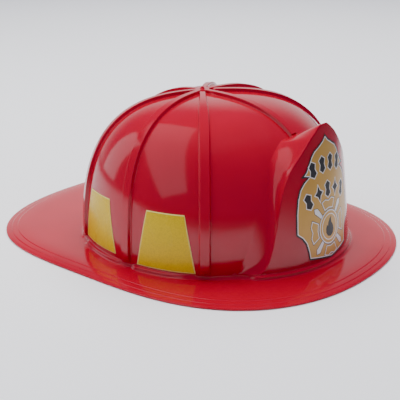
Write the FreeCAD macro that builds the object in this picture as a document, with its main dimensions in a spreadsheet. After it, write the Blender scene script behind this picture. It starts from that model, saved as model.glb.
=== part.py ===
import FreeCAD, Part
import math
import os

# Firefighter helmet: a ribbed dome with a wide brim and a raised front plate, moulded in one,
# with its stickers and the adjustable head harness that hangs inside it.
#
# Frame: +X is forward, +Y the wearer's left, +Z up. The origin is under the middle of the brim,
# on the plane that the brim rests on. Sizes are in millimetres.

Vector = FreeCAD.Vector
UP = Vector(0, 0, 1)
FORWARD = Vector(1, 0, 0)
LEFT = Vector(0, 1, 0)
SIDES = {"left": 1, "right": -1}

DIMENSIONS = (
    ("wall_thick", 1.6, "moulded wall of the shell"),
    ("brim_length", 375, "brim, front tip to rear tip"),
    ("brim_width", 308, "brim, side to side"),
    ("brim_front_fullness", 3.0, "superellipse power of the brim's front half, along X"),
    ("brim_rear_fullness", 3.75, "the same for the rear half"),
    ("brim_side_fullness", 2.23, "the same across"),
    ("dome_length", 240, "dome at its foot, front to back"),
    ("dome_width", 243, "dome at its foot, side to side"),
    ("dome_height", 136, "apex above the brim's underside"),
    ("dome_x", 15.7, "middle of the dome's foot, forward of the brim's middle"),
    ("apex_x", 2, "apex, forward of the brim's middle"),
    ("dome_plan_fullness", 2.12, "superellipse power of the dome's foot"),
    ("dome_front_fullness", 2.93, "power of the dome's profile at the front"),
    ("dome_side_fullness", 3.2, "at the sides"),
    ("dome_rear_fullness", 2.32, "at the rear"),
    ("rib_width", 8, "raised rib on the dome"),
    ("rib_rise", 3, "rib above the dome"),
    ("rib_foot_z", 9, "where the ribs die out above the brim"),
    ("rib_reach", 200, "length of the boxes that cut the ribs out"),
    ("bead_rise", 4, "bead round the dome's foot, above the brim"),
    ("bead_thick", 2.5, "bead beyond the dome's foot"),
    ("plate_foot_x", 149.5, "front plate's middle at the brim"),
    ("plate_lean", 6.8, "degrees that the front plate leans back"),
    ("plate_bow", 112, "radius of the front plate's bow"),
    ("bow_height", 408, "height of the cylinders that cut the bow"),
    ("plate_face_x", 134, "plane in which the plate's outline is given"),
    ("plate_root_x", 96, "plane inside the dome where the plate's flared sides start"),
    ("plate_flare", 0.0082, "how much wider the plate gets for each millimetre back"),
    ("plate_drop", 0.58, "how much lower its peak gets for each millimetre back"),
    ("sticker_gap", 0.05, "glue line under a sticker"),
    ("sticker_thick", 0.3, "printed sticker"),
    ("side_sticker_foot_z", 8.5, "lower edge of a side sticker"),
    ("side_sticker_top_z", 60, "its upper edge"),
    ("side_sticker_foot_angle", 25.5, "degrees of the dome that its lower edge spans"),
    ("side_sticker_top_angle", 16.5, "degrees that its upper edge spans"),
    ("side_sticker_rise", 0.12, "slope of the direction in which it is thickened"),
    ("band_x", 52, "where the headband's straight sides end in front"),
    ("band_end_x", -22, "where the headband's arms end behind"),
    ("band_front", 62, "headband's front curve, forward of band_x, inside"),
    ("band_half_width", 77, "headband's half width, inside"),
    ("band_thick", 1.2, "headband strip"),
    ("band_z", 10, "headband's lower edge"),
    ("band_height", 30, "headband strip's height"),
    ("nape_z", 11, "nape strap's lower edge"),
    ("nape_height", 16, "nape strap's height"),
    ("nape_x", -37, "where the nape strap's straight arms meet its rear curve"),
    ("nape_rear", 43, "nape strap's rear curve, behind nape_x, inside"),
    ("nape_end_x", 22, "front end of the nape strap's arms"),
    ("nape_gap", 0.4, "between the headband and the nape strap's arms"),
    ("slot_rear_x", -14, "size slot in the headband's arms, rear end"),
    ("slot_length", 40, "its length"),
    ("slot_height", 5.4, "its height"),
    ("slot_z", 19, "its middle"),
    ("peg_x", 8, "size peg at the middle size"),
    ("peg_radius", 2.4, "size peg's shaft"),
    ("peg_head_radius", 4.5, "size peg's heads"),
    ("head_thick", 1.4, "heads of pegs, studs and the crown button"),
    ("hanger_thick", 2, "hanger's plate and tongue"),
    ("hanger_width", 15, "hanger's plate and tongue"),
    ("hanger_z", 29, "hanger's lower edge"),
    ("tongue_height", 17, "hanger's tongue, up into its socket"),
    ("plate_height", 13, "hanger's plate on the headband"),
    ("tab_height", 18.5, "hanger's tab, above the headband, that the crown strap is fixed to"),
    ("tab_width", 12, "that tab"),
    ("arm_thick", 3, "hanger's arm"),
    ("socket_wall", 1.6, "wall of the socket round a hanger's tongue"),
    ("socket_z", 33, "socket's mouth"),
    ("socket_height", 15, "socket"),
    ("socket_reach", 27.2, "socket's block, inner face to outer end, before the dome trims it"),
    ("fit_gap", 0.3, "clearance round pieces that slip together"),
    ("hole_gap", 0.1, "clearance round a stud or a peg in its hole"),
    ("strap_hole_gap", 0.15, "clearance in the crown straps' holes"),
    ("drill_length", 8, "length of the rods that cut the hangers' holes"),
    ("end_length", 1, "how far a stud or a post stands out of the piece that it holds"),
    ("hanger_front_x", 44, "front pair of hangers"),
    ("hanger_rear_x", -12, "rear pair of hangers"),
    ("tongue_y", 107.5, "hanger's tongue, from the middle plane"),
    ("stud_z", 36, "band studs"),
    ("stud_radius", 2.5, "band stud's shaft"),
    ("stud_head_radius", 5, "band stud's head"),
    ("strap_width", 18, "crown strap"),
    ("strap_thick", 1.2, "crown strap"),
    ("strap_foot_z", 45, "lower ends of the crown straps"),
    ("strap_spring_z", 57, "where a crown strap leaves the upright"),
    ("strap_rise", 50, "lower crown strap's arch above that"),
    ("strap_lift", 4, "upper crown strap above the lower one at their crossing"),
    ("post_z", 51, "hanger's post through the crown strap's end"),
    ("post_radius", 2, "that post"),
    ("button_radius", 8, "crown button's head"),
    ("button_shaft_radius", 2.5, "crown button's shaft"),
    ("cap_radius", 6.4, "cap on the crown button"),
    ("cap_gap", 0.05, "clearance in the cap's bore"),
    ("pad_thick", 3, "foam brow pad"),
    ("pad_height", 24, "foam brow pad's height"),
    ("pad_z", 13, "brow pad's lower edge"),
    ("pad_half_width", 66, "brow pad's half width across the front"),
)

# Half the front plate's outline, as distances (Y, Z) from its middle line, from the peak downwards.
PLATE_OUTLINE = ((6, 127.5), (20, 117.5), (34.5, 103), (43, 93.5), (50, 79), (55, 61), (58.5, 40),
                 (62, 19), (66, -3))
# Half the badge's outline: peak, hollow shoulder, notched ear, bulging cheek, waist and foot.
BADGE_OUTLINE = ((0, 118.5), (4.5, 114), (10.5, 110.5), (17, 107), (21, 102.5), (24.5, 96), (27.5, 91),
                 (32.5, 86.5), (25.5, 85.5), (30.5, 82.5), (35, 77), (38, 69), (40, 56), (41, 38), (35.5, 33.5),
                 (31.8, 28), (30, 21), (29, 13.5), (0, 5))
RIB_ANGLES = (0, 55, 90, 125, 180, 235, 270, 305)
SIDE_STICKER_ANGLES = {"mid": 72.5, "rear": 109}
ENDS = ("front", "rear")

# How finely the curved surfaces are laid out, and how closely the brim's edge is found.
DOME_COLUMNS, DOME_RINGS = 48, 14
OUTLINE_POINTS = 36
STICKER_STEPS = 6
TOLERANCE = 1e-6

ALIASES = {alias for alias, value, note in DIMENSIONS}

doc = FreeCAD.newDocument("firefighter_helmet")
sheet = doc.addObject("Spreadsheet::Sheet", "dims")
for row, (alias, value, note) in enumerate(DIMENSIONS, 1):
    sheet.set(f"A{row}", note)
    sheet.set(f"B{row}", str(value))
    sheet.setAlias(f"B{row}", alias)
doc.recompute()


def dim(alias):
    """A driving dimension's value."""
    return float(sheet.get(alias))


# ---------------------------------------------------------------- making document objects

def make(kind, name, **bindings):
    """A document object whose properties follow expressions; bare names stand for the sheet's cells."""
    part = doc.addObject(kind, name)
    for prop, expression in bindings.items():
        part.setExpression(prop.replace("_", "."), in_sheet(expression))
    return part


def in_sheet(expression):
    """The expression with each driving dimension's name led back to the sheet."""
    words = []
    word = ""
    for letter in str(expression) + " ":
        if letter.isalnum() or letter == "_":
            word += letter
            continue
        words.append("dims." + word if word in ALIASES else word)
        words.append(letter)
        word = ""
    return "".join(words).strip()


def place(part, x="0", y="0", z="0", turn=0, axis=UP):
    """Puts an object at a place given by expressions, turned by so many degrees about an axis."""
    part.Placement = FreeCAD.Placement(Vector(), FreeCAD.Rotation(axis, turn))
    for letter, expression in zip("xyz", (x, y, z)):
        part.setExpression("Placement.Base." + letter, in_sheet(expression))
    return part


def box(name, length, width, height, x="0", y="0", z="0", turn=0):
    """A box whose lower, rear, right-hand corner is at x, y, z before it turns about that corner."""
    return place(make("Part::Box", name, Length=length, Width=width, Height=height), x, y, z, turn)


def rod(name, radius, height, x="0", y="0", z="0", turn=0, axis=UP):
    return place(make("Part::Cylinder", name, Radius=radius, Height=height), x, y, z, turn, axis)


def joined(kind, name, shapes):
    part = doc.addObject(kind, name)
    part.Shapes = shapes
    part.Refine = False
    return part


def fuse(name, shapes):
    return joined("Part::MultiFuse", name, shapes)


def common(name, shapes):
    return joined("Part::MultiCommon", name, shapes)


def cut(name, base, tool):
    part = doc.addObject("Part::Cut", name)
    part.Base = base
    part.Tool = tool
    part.Refine = False
    return part


def extrude(name, outline, direction, length):
    part = doc.addObject("Part::Extrusion", name)
    part.Base = outline
    part.DirMode = "Custom"
    part.Dir = direction
    part.Solid = True
    part.setExpression("LengthFwd", in_sheet(length))
    return part


def feature(name, shape):
    """An object whose shape comes from a formula that reads the sheet."""
    part = doc.addObject("Part::Feature", name)
    part.Shape = shape
    return part


nodes = {}


def node(name, part):
    """Declares a finished piece: its label names its file."""
    part.Label = name
    nodes[name] = part
    return part


# ---------------------------------------------------------------- the dome's formula

def dome_fullness(turn):
    """Power of the dome's superellipse profile in the direction turn, in radians from forward."""
    forward = math.cos(turn)
    end = dim("dome_front_fullness") if forward > 0 else dim("dome_rear_fullness")
    return dim("dome_side_fullness") + (end - dim("dome_side_fullness")) * forward ** 2


def plan_radius(turn, grow):
    """Distance from the middle of the dome's foot to its edge."""
    power = dim("dome_plan_fullness")
    along = abs(math.cos(turn)) / (dim("dome_length") / 2 + grow)
    across = abs(math.sin(turn)) / (dim("dome_width") / 2 + grow)
    return (along ** power + across ** power) ** (-1 / power)


def dome_place(turn, spread, height, grow):
    """The point at shares of the way from the apex's axis to the dome's foot, and from its foot to its top."""
    middle = dim("apex_x") + (dim("dome_x") - dim("apex_x")) * spread
    radius = plan_radius(turn, grow) * spread
    z = (dim("dome_height") + grow) * height
    return Vector(middle + radius * math.cos(turn), radius * math.sin(turn), z)


def dome_point(turn, tilt, grow):
    """A point on the dome grown by so much; tilt is 0 at the apex and a right angle at the foot."""
    power = dome_fullness(turn)
    size = (math.sin(tilt) ** power + abs(math.cos(tilt)) ** power) ** (-1 / power)
    return dome_place(turn, size * math.sin(tilt), size * math.cos(tilt), grow)


def dome_point_at(turn, z, grow):
    """The dome's point in the direction turn at height z."""
    power = dome_fullness(turn)
    height = z / (dim("dome_height") + grow)
    return dome_place(turn, (1 - height ** power) ** (1 / power), height, grow)


def dome_solid(grow, below=0):
    """The solid under the dome's surface, carried down below its foot if asked."""
    turns = [math.radians(360 * i / DOME_COLUMNS - 180) for i in range(DOME_COLUMNS + 1)]
    tilts = [math.pi / 2 * i / DOME_RINGS for i in range(DOME_RINGS + 1)]
    rows = [[dome_point(turn, tilt, grow) for turn in turns] for tilt in tilts]
    if below:
        rows.append([Vector(p.x, p.y, -below) for p in rows[-1]])
    surface = Part.BSplineSurface()
    surface.interpolate(rows)
    skin = surface.toShape()
    foot = min((edge for edge in skin.Edges if edge.isClosed() and not edge.Degenerated),
               key=lambda edge: edge.BoundBox.ZMax)
    shell = Part.makeShell([skin, Part.Face(Part.Wire([foot]))])
    shell.sewShape()
    return oriented(Part.Solid(shell))


def oriented(solid):
    return solid if solid.Volume > 0 else solid.reversed()


def smooth_loop(point_at):
    """A flat face inside the closed smooth curve whose point in each direction is given."""
    turns = [math.tau * i / OUTLINE_POINTS for i in range(OUTLINE_POINTS)]
    curve = Part.BSplineCurve()
    curve.interpolate([point_at(turn) for turn in turns], PeriodicFlag=True)
    return Part.Face(Part.Wire([curve.toShape()]))


def brim_point(turn):
    """The brim's edge in the direction turn, found by halving."""
    forward, across = abs(math.cos(turn)), abs(math.sin(turn))
    power = dim("brim_front_fullness") if math.cos(turn) > 0 else dim("brim_rear_fullness")
    inside, outside = 0.0, dim("brim_length")
    while outside - inside > TOLERANCE:
        middle = (inside + outside) / 2
        size = (middle * forward / dim("brim_length") * 2) ** power
        size += (middle * across / dim("brim_width") * 2) ** dim("brim_side_fullness")
        if size < 1:
            inside = middle
        else:
            outside = middle
    return Vector(inside * math.cos(turn), inside * math.sin(turn), 0)


# ---------------------------------------------------------------- the shell

def both_sides(outline):
    """A symmetrical outline from its half, as (Y, Z) pairs."""
    mirrored = [(-y, z) for y, z in reversed(outline) if y]
    return list(outline) + mirrored


def plate_wire(x, inset, foot_z):
    """The front plate's outline carried back to the plane at x: wider and lower nearer the dome."""
    depth = dim("plate_face_x") - x
    widen = 1 + dim("plate_flare") * depth
    points = []
    for y, z in both_sides(PLATE_OUTLINE):
        drop = dim("plate_drop") * depth * z / PLATE_OUTLINE[0][1]
        points.append(Vector(x, y * widen - math.copysign(inset, y), max(z - drop - inset, foot_z)))
    return Part.makePolygon(points + points[:1])


def plate_block(name, inset, foot_z):
    """The raised front plate as a solid block, its bowed face and its sides set back by inset."""
    far_x = 2 * dim("plate_face_x") - dim("plate_root_x")
    ends = [plate_wire(x, inset, foot_z) for x in (dim("plate_root_x"), far_x)]
    sides = feature(name + "_sides", Part.makeLoft(ends, True, True))
    bow = rod(name + "_bow", f"plate_bow - {inset}", "bow_height")
    lean_face(bow)
    return common(name, [sides, bow])


def lean_face(bow):
    """Leans a bowed cylinder back so that its front passes through the plate's foot."""
    lean = math.radians(dim("plate_lean"))
    axis_x = dim("plate_foot_x") - dim("plate_bow") / math.cos(lean)
    drop = dim("dome_height")
    bow.Placement = FreeCAD.Placement(Vector(axis_x + drop * math.tan(lean), 0, -drop),
                                      FreeCAD.Rotation(LEFT, -dim("plate_lean")))
    for letter in "xyz":
        bow.setExpression("Placement.Base." + letter, None)


def make_ribs():
    """Eight raised ribs from the apex to just above the brim."""
    envelope = feature("rib_envelope", dome_solid(dim("rib_rise")))
    bars = []
    for angle in RIB_ANGLES:
        foot = dome_point(math.radians(angle), math.pi / 2, 0)
        heading = math.atan2(foot.y, foot.x - dim("apex_x"))
        sideways = f"rib_width / 2 * {math.sin(heading):.9f}", f"-rib_width / 2 * {math.cos(heading):.9f}"
        bars.append(box(f"rib_bar_{angle}", "rib_reach", "rib_width", "rib_reach",
                        x=f"apex_x + {sideways[0]}", y=sideways[1], z="rib_foot_z",
                        turn=math.degrees(heading)))
    return common("ribs", [envelope, fuse("rib_bars", bars)])


def make_brim():
    outline = feature("brim_outline", smooth_loop(brim_point))
    return extrude("brim", outline, UP, "wall_thick")


def make_bead():
    """The raised bead where the dome meets the brim."""
    outline = feature("bead_outline",
                      smooth_loop(lambda turn: dome_point(turn, math.pi / 2, dim("bead_thick"))))
    return place(extrude("bead", outline, UP, "wall_thick / 2 + bead_rise"), z="wall_thick / 2")


def make_sockets(core):
    """Sockets on the shell's inner wall for the hangers' tongues, trimmed to the dome, and their slots."""
    half = "(hanger_width / 2 + fit_gap + socket_wall)"
    near = "(tongue_y - hanger_thick / 2 - fit_gap - socket_wall)"
    blocks, slots = [], []
    for end in ENDS:
        for side, sign in SIDES.items():
            y = near if sign > 0 else f"-{near} - socket_reach"
            blocks.append(box(f"socket_block_{end}_{side}", f"2 * {half}", "socket_reach", "socket_height",
                              x=f"hanger_{end}_x - {half}", y=y, z="socket_z"))
            slots.append(box(f"socket_slot_{end}_{side}", "hanger_width + 2 * fit_gap",
                             "hanger_thick + 2 * fit_gap", "socket_height - socket_wall",
                             x=f"hanger_{end}_x - hanger_width / 2 - fit_gap",
                             y=f"{sign} * tongue_y - hanger_thick / 2 - fit_gap", z="socket_z"))
    trimmed = common("socket_bodies", [fuse("socket_blocks", blocks), core])
    return trimmed, fuse("socket_slots", slots)


def make_shell():
    wall = dim("wall_thick")
    outside = feature("dome_outside", dome_solid(0))
    additions = {"plated": plate_block("plate_outside", 0, wall / 2), "brimmed": make_brim(),
                 "beaded": make_bead(), "ribbed": make_ribs()}
    for name, addition in additions.items():
        outside = fuse(name + "_dome", [outside, addition])
    hollow_dome = feature("dome_inside", dome_solid(-wall, wall))
    hollow = fuse("shell_inside", [hollow_dome, plate_block("plate_inside", wall, -2 * wall)])
    core = feature("socket_core", dome_solid(-wall / 2))
    bodies, slots = make_sockets(core)
    walls = cut("shell_walls", outside, hollow)
    node("helmet_shell", cut("shell", fuse("shell_with_sockets", [walls, bodies]), slots))


# ---------------------------------------------------------------- the stickers

def make_badge():
    """The printed shield on the front plate: a thin skin that follows the plate's bow."""
    points = [Vector(dim("plate_root_x"), y, z) for y, z in both_sides(BADGE_OUTLINE)]
    outline = feature("badge_outline", Part.Face(Part.makePolygon(points + points[:1])))
    prism = extrude("badge_prism", outline, FORWARD, "2 * plate_foot_x")
    outer = rod("badge_outer", "plate_bow + sticker_gap + sticker_thick", "bow_height")
    inner = rod("badge_inner", "plate_bow + sticker_gap", "bow_height")
    for bow in (outer, inner):
        lean_face(bow)
    node("badge_sticker", common("badge", [prism, cut("badge_skin", outer, inner)]))


def make_side_sticker(angle, side):
    """A trapezoid sticker that follows the dome, between two ribs."""
    middle = math.radians(angle)
    shares = [i / STICKER_STEPS for i in range(STICKER_STEPS + 1)]
    rows = []
    for up in shares:
        z = dim("side_sticker_foot_z") * (1 - up) + dim("side_sticker_top_z") * up
        span = math.radians(dim("side_sticker_foot_angle") * (1 - up) + dim("side_sticker_top_angle") * up)
        turns = [middle + span * (along - 1 / 2) for along in shares]
        rows.append([dome_point_at(side * turn, z, dim("sticker_gap")) for turn in turns])
    surface = Part.BSplineSurface()
    surface.interpolate(rows)
    outward = Vector(math.cos(middle), side * math.sin(middle), dim("side_sticker_rise"))
    return oriented(surface.toShape().extrude(outward.normalize() * dim("sticker_thick")))


def make_stickers():
    make_badge()
    for place_name, angle in SIDE_STICKER_ANGLES.items():
        for side_name, sign in SIDES.items():
            name = f"side_sticker_{place_name}_{side_name}"
            node(name, feature(name, make_side_sticker(angle, sign)))


# ---------------------------------------------------------------- the harness

def oval(name, forward, across, height, x, z):
    """An upright elliptic block, forward and across being its half sizes; across is the larger."""
    ring = make("Part::Ellipse", name + "_ring", MajorRadius=across, MinorRadius=forward)
    place(ring, x, "0", z, turn=90)
    return extrude(name, ring, UP, height)


def bend(x, forward, half):
    """Half an upright oval round x, from its left end to its right one by way of x + forward."""
    oval_curve = Part.Ellipse(Vector(x, half, 0), Vector(x + forward, 0, 0), Vector(x, 0, 0))
    return Part.ArcOfEllipse(oval_curve, 0, math.pi).toShape()


def strip(name, grow, forward, x, end_x, z, height):
    """A C-shaped strip, band_thick thick, whose inner face is so far from the middle plane."""
    inner = dim("band_half_width") + grow
    outer = inner + dim("band_thick")
    heading = math.copysign(1, x - end_x)
    reach = forward + grow
    edges = [bend(x, heading * reach, inner), bend(x, heading * (reach + dim("band_thick")), outer)]
    for sign in SIDES.values():
        corners = [Vector(x, sign * inner, 0), Vector(end_x, sign * inner, 0), Vector(end_x, sign * outer, 0),
                   Vector(x, sign * outer, 0)]
        edges += [Part.makeLine(*pair) for pair in zip(corners, corners[1:])]
    outline = feature(name + "_outline", Part.Face(Part.Wire(Part.__sortEdges__(edges))))
    return place(extrude(name, outline, UP, height), z=z)


def make_headband():
    """The headband's C-shaped strip, with a size slot and two stud holes in each arm."""
    band = strip("headband_strip", 0, dim("band_front"), dim("band_x"), dim("band_end_x"), "band_z",
                 "band_height")
    across = "4 * band_half_width"
    slot = fuse("size_slots", [
        box("size_slot", "slot_length - slot_height", across, "slot_height", x="slot_rear_x + slot_height / 2",
            y="-2 * band_half_width", z="slot_z - slot_height / 2"),
        rod("size_slot_rear", "slot_height / 2", across, x="slot_rear_x + slot_height / 2",
            y="2 * band_half_width", z="slot_z", turn=90, axis=FORWARD),
        rod("size_slot_front", "slot_height / 2", across, x="slot_rear_x + slot_length - slot_height / 2",
            y="2 * band_half_width", z="slot_z", turn=90, axis=FORWARD)])
    holes = [rod(f"band_holes_{end}", "stud_radius + hole_gap", across, x=f"hanger_{end}_x",
                 y="2 * band_half_width", z="stud_z", turn=90, axis=FORWARD) for end in ENDS]
    node("headband", cut("headband", band, fuse("headband_openings", [slot] + holes)))


def make_nape_strap():
    """The nape strap: its arms run outside the headband's and carry the size pegs."""
    strap = strip("nape_strip", dim("band_thick") + dim("nape_gap"), dim("nape_rear"), dim("nape_x"),
                  dim("nape_end_x"), "nape_z", "nape_height")
    holes = rod("nape_holes", "peg_radius + hole_gap", "4 * band_half_width", x="peg_x",
                y="2 * band_half_width", z="slot_z", turn=90, axis=FORWARD)
    node("nape_strap", cut("nape_strap", strap, holes))


def outward_rod(name, radius, length, x, y, z, sign):
    """A rod that points away from the middle plane, from a distance y."""
    return rod(name, radius, length, x=x, y=f"{sign} * ({y})", z=z, turn=-90 * sign, axis=FORWARD)


def make_size_pegs():
    """Double-headed pegs: through the nape strap's arm and the headband's slot."""
    inner_face = "band_half_width - fit_gap"
    outer_face = "band_half_width + 2 * band_thick + nape_gap + fit_gap"
    for side, sign in SIDES.items():
        shaft = outward_rod(f"peg_shaft_{side}", "peg_radius", f"{outer_face} - {inner_face} + head_thick", "peg_x",
                            f"{inner_face} - head_thick / 2", "slot_z", sign)
        inner = outward_rod(f"peg_inner_{side}", "peg_head_radius", "head_thick", "peg_x",
                            f"{inner_face} - head_thick", "slot_z", sign)
        outer = outward_rod(f"peg_outer_{side}", "peg_head_radius", "head_thick", "peg_x", outer_face, "slot_z",
                            sign)
        node(f"size_peg_{side}", fuse(f"size_peg_{side}", [shaft, inner, outer]))


def strap_heading(end, sign):
    """Direction, in degrees, from the crown straps' crossing to a hanger's tab."""
    half_spread = (dim("hanger_front_x") - dim("hanger_rear_x")) / 2
    angle = math.degrees(math.atan2(tab_distance(), half_spread))
    return sign * (angle if end == "front" else 180 - angle)


def tab_distance():
    """Distance from the middle plane to the middle of a hanger's plate."""
    return dim("band_half_width") + dim("band_thick") + dim("fit_gap") + dim("hanger_thick") / 2


def strap_reach():
    """Distance from the crossing to the inner face of a crown strap's upright end."""
    half_spread = (dim("hanger_front_x") - dim("hanger_rear_x")) / 2
    return math.hypot(half_spread, tab_distance()) + dim("hanger_thick") / 2 + dim("fit_gap")


def turned_box(name, heading, near, thick, width, height, z):
    """An upright plate across a crown strap's direction, whose near face is so far from the crossing."""
    middle_x = (dim("hanger_front_x") + dim("hanger_rear_x")) / 2
    angle = math.radians(heading)
    x = middle_x + near * math.cos(angle) + width / 2 * math.sin(angle)
    y = near * math.sin(angle) - width / 2 * math.cos(angle)
    return box(name, f"{thick:.9f}", f"{width:.9f}", height, x=f"{x:.9f}", y=f"{y:.9f}", z=z, turn=heading)


def radial_rod(name, radius, heading, near, length, z):
    """A level rod along a crown strap's direction, from so far out from the crossing."""
    middle_x = (dim("hanger_front_x") + dim("hanger_rear_x")) / 2
    angle = math.radians(heading)
    outward = Vector(math.cos(angle), math.sin(angle), 0)
    part = make("Part::Cylinder", name, Radius=radius, Height=f"{length:.9f}")
    part.Placement = FreeCAD.Placement(Vector(middle_x, 0, 0) + outward * near, FreeCAD.Rotation(UP, outward))
    part.setExpression("Placement.Base.z", in_sheet(z))
    return part


def make_hanger(end, side, sign):
    """A hanger: plate on the headband, arm out to the tongue in its socket, tab and post for the crown strap."""
    name = f"hanger_{end}_{side}"
    near = "band_half_width + band_thick + fit_gap"
    plate_y = f"{near}" if sign > 0 else f"-({near} + hanger_thick)"
    x = f"hanger_{end}_x - hanger_width / 2"
    plate = box(name + "_plate", "hanger_width", "hanger_thick", "plate_height", x=x, y=plate_y, z="hanger_z")
    arm_y = f"{near}" if sign > 0 else "-tongue_y"
    arm = box(name + "_arm", "hanger_width", f"tongue_y - ({near})", "arm_thick", x=x, y=arm_y, z="hanger_z")
    tongue = box(name + "_tongue", "hanger_width", "hanger_thick", "tongue_height", x=x,
                 y=f"{sign} * tongue_y - hanger_thick / 2", z="hanger_z")
    heading = strap_heading(end, sign)
    reach = strap_reach()
    tab_near = reach - dim("fit_gap") - dim("hanger_thick")
    tab = turned_box(name + "_tab", heading, tab_near, dim("hanger_thick"), dim("tab_width"), "tab_height",
                     "band_z + band_height + fit_gap")
    post_length = dim("hanger_thick") + 2 * dim("fit_gap") + dim("strap_thick") + dim("end_length")
    post = radial_rod(name + "_post", "post_radius", heading, tab_near, post_length, "post_z")
    hole = outward_rod(name + "_hole", "stud_radius + hole_gap", "drill_length", f"hanger_{end}_x",
                       f"{near} - hanger_thick", "stud_z", sign)
    body = fuse(name + "_body", [plate, arm, tongue, tab, post])
    node(name, cut(name, body, hole))


def make_stud(end, side, sign):
    """A push-in stud: head inside the headband, shaft out through the hanger's plate."""
    name = f"band_stud_{end}_{side}"
    head_face = "band_half_width - hole_gap"
    head = outward_rod(name + "_head", "stud_head_radius", "head_thick", f"hanger_{end}_x",
                       f"{head_face} - head_thick", "stud_z", sign)
    shaft = outward_rod(name + "_shaft", "stud_radius",
                        "head_thick + band_thick + fit_gap + hanger_thick + end_length",
                        f"hanger_{end}_x", f"{head_face} - head_thick / 2", "stud_z", sign)
    node(name, fuse(name, [head, shaft]))


def arch(name, reach, rise, heading, grow):
    """The block under a crown strap's line, grow away from its inner face."""
    middle_x = (dim("hanger_front_x") + dim("hanger_rear_x")) / 2
    across = dim("strap_width")
    length, height = reach + grow, rise + grow
    foot, spring = dim("strap_foot_z"), dim("strap_spring_z")
    ellipse = Part.Ellipse(Vector(length, 0, spring), Vector(0, 0, spring + height), Vector(0, 0, spring))
    top = Part.ArcOfEllipse(ellipse, 0, math.pi)
    left_side = Part.LineSegment(Vector(-length, 0, spring), Vector(-length, 0, foot))
    base = Part.LineSegment(Vector(-length, 0, foot), Vector(length, 0, foot))
    right_side = Part.LineSegment(Vector(length, 0, foot), Vector(length, 0, spring))
    wire = Part.Wire([edge.toShape() for edge in (top, left_side, base, right_side)])
    block = Part.Face(wire).extrude(Vector(0, across, 0))
    block.translate(Vector(0, -across / 2, 0))
    block.rotate(Vector(), UP, heading)
    block.translate(Vector(middle_x, 0, 0))
    return feature(name, block)


def make_crown_strap(name, side_of_front, lift):
    """A crown strap from a front hanger over the head to the opposite rear hanger."""
    heading = strap_heading("front", side_of_front)
    reach, rise = strap_reach(), dim("strap_rise") + lift
    band = cut(name + "_band", arch(name + "_outer", reach, rise, heading, dim("strap_thick")),
               arch(name + "_inner", reach, rise, heading, 0))
    ends = radial_rod(name + "_post_holes", "post_radius + strap_hole_gap", heading, -2 * reach, 4 * reach,
                      "post_z")
    crossing = rod(name + "_button_hole", "button_shaft_radius + strap_hole_gap", "dome_height",
                   x="(hanger_front_x + hanger_rear_x) / 2")
    node(name, cut(name, band, fuse(name + "_holes", [ends, crossing])))


def make_crown_button():
    """The rivet at the straps' crossing: head and shaft below, cap above."""
    x = "(hanger_front_x + hanger_rear_x) / 2"
    low = "strap_spring_z + strap_rise - 2 * fit_gap"
    high = "strap_spring_z + strap_rise + strap_lift + strap_thick + fit_gap"
    head = rod("button_head", "button_radius", "head_thick", x=x, z=f"{low} - head_thick")
    shaft = rod("button_shaft", "button_shaft_radius", f"({high}) - ({low}) + head_thick", x=x,
                z=f"{low} - head_thick / 2")
    node("crown_button", fuse("crown_button", [head, shaft]))
    cap = rod("cap_disc", "cap_radius", "2 * head_thick", x=x, z=high)
    bore = rod("cap_bore", "button_shaft_radius + cap_gap", "head_thick", x=x, z=high)
    node("crown_button_cap", cut("crown_button_cap", cap, bore))


def make_brow_pad():
    """A foam strip inside the headband's front."""
    outer = oval("pad_outer", "band_front - fit_gap", "band_half_width - fit_gap", "pad_height", "band_x",
                 "pad_z")
    inner = oval("pad_inner", "band_front - fit_gap - pad_thick", "band_half_width - fit_gap - pad_thick",
                 "pad_height", "band_x", "pad_z")
    front = box("pad_front", "2 * band_front", "2 * pad_half_width", "pad_height", x="band_x",
                y="-pad_half_width", z="pad_z")
    node("brow_pad", common("brow_pad", [cut("pad_ring", outer, inner), front]))


def make_harness():
    make_headband()
    make_nape_strap()
    make_size_pegs()
    for end in ENDS:
        for side, sign in SIDES.items():
            make_hanger(end, side, sign)
            make_stud(end, side, sign)
    make_crown_strap("crown_strap_lower", 1, 0)
    make_crown_strap("crown_strap_upper", -1, dim("strap_lift"))
    make_crown_button()
    make_brow_pad()


# ---------------------------------------------------------------- checks and files

def check_document():
    """Stops if any object failed, or a piece's shape is missing, broken or inside out."""
    for part in doc.Objects:
        if "Invalid" in part.State or "Error" in part.State:
            raise RuntimeError(f"{part.Name} failed: {part.State}")
    for name, part in nodes.items():
        shape = part.Shape
        if shape.isNull() or not shape.isValid() or shape.Volume <= 0:
            raise RuntimeError(f"{name} has no sound shape")
        bounds = shape.BoundBox
        print(f"{name}: {shape.Volume:.0f} mm3, {len(shape.Solids)} solid,",
              f"{bounds.XMin:.1f}..{bounds.XMax:.1f} {bounds.YMin:.1f}..{bounds.YMax:.1f}",
              f"{bounds.ZMin:.1f}..{bounds.ZMax:.1f}")


def write_files():
    os.makedirs("parts", exist_ok=True)
    for name, part in nodes.items():
        part.Shape.exportStep(f"parts/{name}.step")


make_shell()
make_stickers()
make_harness()
doc.recompute()
check_document()
write_files()
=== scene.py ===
import math

import bmesh
import bpy
import numpy as np
from mathutils import Matrix, Vector, geometry


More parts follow.
